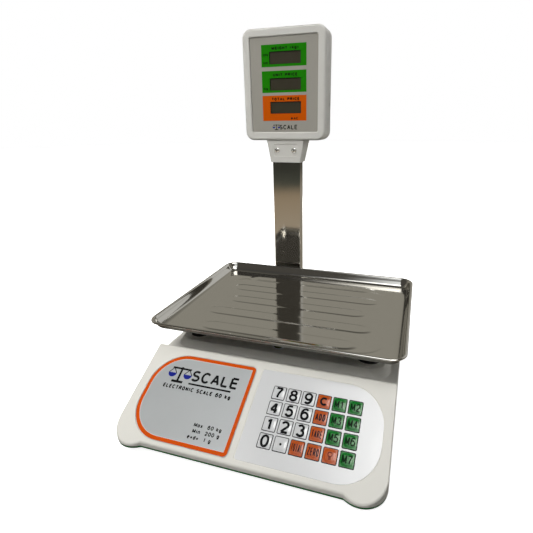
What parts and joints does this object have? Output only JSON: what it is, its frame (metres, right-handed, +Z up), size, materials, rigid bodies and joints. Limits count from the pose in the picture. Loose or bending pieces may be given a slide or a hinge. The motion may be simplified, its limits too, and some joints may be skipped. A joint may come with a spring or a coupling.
{
  "type": "price computing scale",
  "caption": "Counter-top retail scale: sloping keypad base, stainless tray on rubber cushions, and a two-sided display head on a pole.",
  "frame": {"origin": "middle of the object's footprint, on the counter under the feet", "axes": "+Z up, +X to the operator's right, -Y towards the operator, who faces the keypad"},
  "size_m": [0.34, 0.405, 0.5125],
  "materials": {
    "housing_white": "satin",
    "tray_green": "satin",
    "label_silver": "satin",
    "overlay_film": "glossy",
    "key_white": "glossy",
    "key_orange": "glossy",
    "key_green": "glossy",
    "polished_stainless": "polished",
    "cast_aluminium": "as cast",
    "machined_aluminium": "machined",
    "black_rubber": "matte",
    "black_plastic": "satin",
    "display_grey": "satin",
    "lcd_glass": "glossy",
    "level_vial": "glossy",
    "circuit_board": "satin",
    "battery_case": "satin",
    "steel": "zinc plated",
    "screw_steel": "plated",
    "cable_black": "satin"
  },
  "bodies": {
    "base": {"lower_base": "tray_green", "upper_housing": "housing_white", "battery_door": "tray_green", "battery": "battery_case", "main_board": "circuit_board", "keypad_board": "circuit_board", "keypad_overlay": "overlay_film", "label_plate": "label_silver", "bubble_level": "level_vial", "power_switch_frame": "black_plastic", "mains_inlet": "black_plastic", "load_cell": "machined_aluminium", "load_cell_mount": "steel", "transformer": "steel", "pole": "polished_stainless", "pole_bracket": "steel", "display_front_shell": "housing_white", "display_rear_shell": "housing_white", "front_display_overlay": "display_grey", "rear_display_overlay": "display_grey", "front_lcd_unit": "lcd_glass", "rear_lcd_unit": "lcd_glass", "neck_screw_left": "screw_steel", "neck_screw_right": "screw_steel", "display_cable": "cable_black"},
    "platform": {"pan_support": "cast_aluminium", "cushion_front_left": "black_rubber", "cushion_front_right": "black_rubber", "cushion_rear_left": "black_rubber", "cushion_rear_right": "black_rubber"},
    "pan": {"weighing_pan": "polished_stainless"},
    "power_rocker": {"power_switch_rocker": "black_plastic"},
    "foot_front_left": {"foot_front_left": "black_rubber"},
    "foot_front_right": {"foot_front_right": "black_rubber"},
    "foot_rear_left": {"foot_rear_left": "black_rubber"},
    "foot_rear_right": {"foot_rear_right": "black_rubber"},
    "key_7": {"key_7": "key_white"},
    "key_8": {"key_8": "key_white"},
    "key_9": {"key_9": "key_white"},
    "key_clear": {"key_clear": "key_orange"},
    "key_m1": {"key_m1": "key_green"},
    "key_m2": {"key_m2": "key_green"},
    "key_4": {"key_4": "key_white"},
    "key_5": {"key_5": "key_white"},
    "key_6": {"key_6": "key_white"},
    "key_add": {"key_add": "key_orange"},
    "key_m3": {"key_m3": "key_green"},
    "key_m4": {"key_m4": "key_green"},
    "key_1": {"key_1": "key_white"},
    "key_2": {"key_2": "key_white"},
    "key_3": {"key_3": "key_white"},
    "key_tare": {"key_tare": "key_orange"},
    "key_m5": {"key_m5": "key_green"},
    "key_m6": {"key_m6": "key_green"},
    "key_0": {"key_0": "key_white"},
    "key_point": {"key_point": "key_white"},
    "key_total": {"key_total": "key_orange"},
    "key_zero": {"key_zero": "key_orange"},
    "key_light": {"key_light": "key_orange"},
    "key_m7": {"key_m7": "key_green"}
  },
  "joints": [
    {"name": "platform_travel", "type": "slide", "parent": "base", "child": "platform", "axis": [0, 0, 1], "range_m": [-0.0005, 0], "stiffness_N_per_m": 1180000, "deforming": ["load_cell"]},
    {"name": "pan_lift_off", "type": "slide", "parent": "platform", "child": "pan", "axis": [0, 0, 1], "range_m": [0, 0.06]},
    {"name": "power_rocker_turn", "type": "hinge", "parent": "base", "child": "power_rocker", "pos_m": [0.06, 0.1955, 0.04], "axis": [1, 0, 0], "range_deg": [0, 14]},
    {"name": "foot_front_left_screw", "type": "slide", "parent": "base", "child": "foot_front_left", "axis": [0, 0, 1], "range_m": [-0.005, 0.004]},
    {"name": "foot_front_right_screw", "type": "slide", "parent": "base", "child": "foot_front_right", "axis": [0, 0, 1], "range_m": [-0.005, 0.004]},
    {"name": "foot_rear_left_screw", "type": "slide", "parent": "base", "child": "foot_rear_left", "axis": [0, 0, 1], "range_m": [-0.005, 0.004]},
    {"name": "foot_rear_right_screw", "type": "slide", "parent": "base", "child": "foot_rear_right", "axis": [0, 0, 1], "range_m": [-0.005, 0.004]},
    {"name": "key_7_press", "type": "slide", "parent": "base", "child": "key_7", "axis": [0, 0.4756, -0.8796], "range_m": [0, 0.0005], "stiffness_N_per_m": 4000},
    {"name": "key_8_press", "type": "slide", "parent": "base", "child": "key_8", "axis": [0, 0.4756, -0.8796], "range_m": [0, 0.0005], "stiffness_N_per_m": 4000},
    {"name": "key_9_press", "type": "slide", "parent": "base", "child": "key_9", "axis": [0, 0.4756, -0.8796], "range_m": [0, 0.0005], "stiffness_N_per_m": 4000},
    {"name": "key_clear_press", "type": "slide", "parent": "base", "child": "key_clear", "axis": [0, 0.4756, -0.8796], "range_m": [0, 0.0005], "stiffness_N_per_m": 4000},
    {"name": "key_m1_press", "type": "slide", "parent": "base", "child": "key_m1", "axis": [0, 0.4756, -0.8796], "range_m": [0, 0.0005], "stiffness_N_per_m": 4000},
    {"name": "key_m2_press", "type": "slide", "parent": "base", "child": "key_m2", "axis": [0, 0.4756, -0.8796], "range_m": [0, 0.0005], "stiffness_N_per_m": 4000},
    {"name": "key_4_press", "type": "slide", "parent": "base", "child": "key_4", "axis": [0, 0.4756, -0.8796], "range_m": [0, 0.0005], "stiffness_N_per_m": 4000},
    {"name": "key_5_press", "type": "slide", "parent": "base", "child": "key_5", "axis": [0, 0.4756, -0.8796], "range_m": [0, 0.0005], "stiffness_N_per_m": 4000},
    {"name": "key_6_press", "type": "slide", "parent": "base", "child": "key_6", "axis": [0, 0.4756, -0.8796], "range_m": [0, 0.0005], "stiffness_N_per_m": 4000},
    {"name": "key_add_press", "type": "slide", "parent": "base", "child": "key_add", "axis": [0, 0.4756, -0.8796], "range_m": [0, 0.0005], "stiffness_N_per_m": 4000},
    {"name": "key_m3_press", "type": "slide", "parent": "base", "child": "key_m3", "axis": [0, 0.4756, -0.8796], "range_m": [0, 0.0005], "stiffness_N_per_m": 4000},
    {"name": "key_m4_press", "type": "slide", "parent": "base", "child": "key_m4", "axis": [0, 0.4756, -0.8796], "range_m": [0, 0.0005], "stiffness_N_per_m": 4000},
    {"name": "key_1_press", "type": "slide", "parent": "base", "child": "key_1", "axis": [0, 0.4756, -0.8796], "range_m": [0, 0.0005], "stiffness_N_per_m": 4000},
    {"name": "key_2_press", "type": "slide", "parent": "base", "child": "key_2", "axis": [0, 0.4756, -0.8796], "range_m": [0, 0.0005], "stiffness_N_per_m": 4000},
    {"name": "key_3_press", "type": "slide", "parent": "base", "child": "key_3", "axis": [0, 0.4756, -0.8796], "range_m": [0, 0.0005], "stiffness_N_per_m": 4000},
    {"name": "key_tare_press", "type": "slide", "parent": "base", "child": "key_tare", "axis": [0, 0.4756, -0.8796], "range_m": [0, 0.0005], "stiffness_N_per_m": 4000},
    {"name": "key_m5_press", "type": "slide", "parent": "base", "child": "key_m5", "axis": [0, 0.4756, -0.8796], "range_m": [0, 0.0005], "stiffness_N_per_m": 4000},
    {"name": "key_m6_press", "type": "slide", "parent": "base", "child": "key_m6", "axis": [0, 0.4756, -0.8796], "range_m": [0, 0.0005], "stiffness_N_per_m": 4000},
    {"name": "key_0_press", "type": "slide", "parent": "base", "child": "key_0", "axis": [0, 0.4756, -0.8796], "range_m": [0, 0.0005], "stiffness_N_per_m": 4000},
    {"name": "key_point_press", "type": "slide", "parent": "base", "child": "key_point", "axis": [0, 0.4756, -0.8796], "range_m": [0, 0.0005], "stiffness_N_per_m": 4000},
    {"name": "key_total_press", "type": "slide", "parent": "base", "child": "key_total", "axis": [0, 0.4756, -0.8796], "range_m": [0, 0.0005], "stiffness_N_per_m": 4000},
    {"name": "key_zero_press", "type": "slide", "parent": "base", "child": "key_zero", "axis": [0, 0.4756, -0.8796], "range_m": [0, 0.0005], "stiffness_N_per_m": 4000},
    {"name": "key_light_press", "type": "slide", "parent": "base", "child": "key_light", "axis": [0, 0.4756, -0.8796], "range_m": [0, 0.0005], "stiffness_N_per_m": 4000},
    {"name": "key_m7_press", "type": "slide", "parent": "base", "child": "key_m7", "axis": [0, 0.4756, -0.8796], "range_m": [0, 0.0005], "stiffness_N_per_m": 4000}
  ]
}
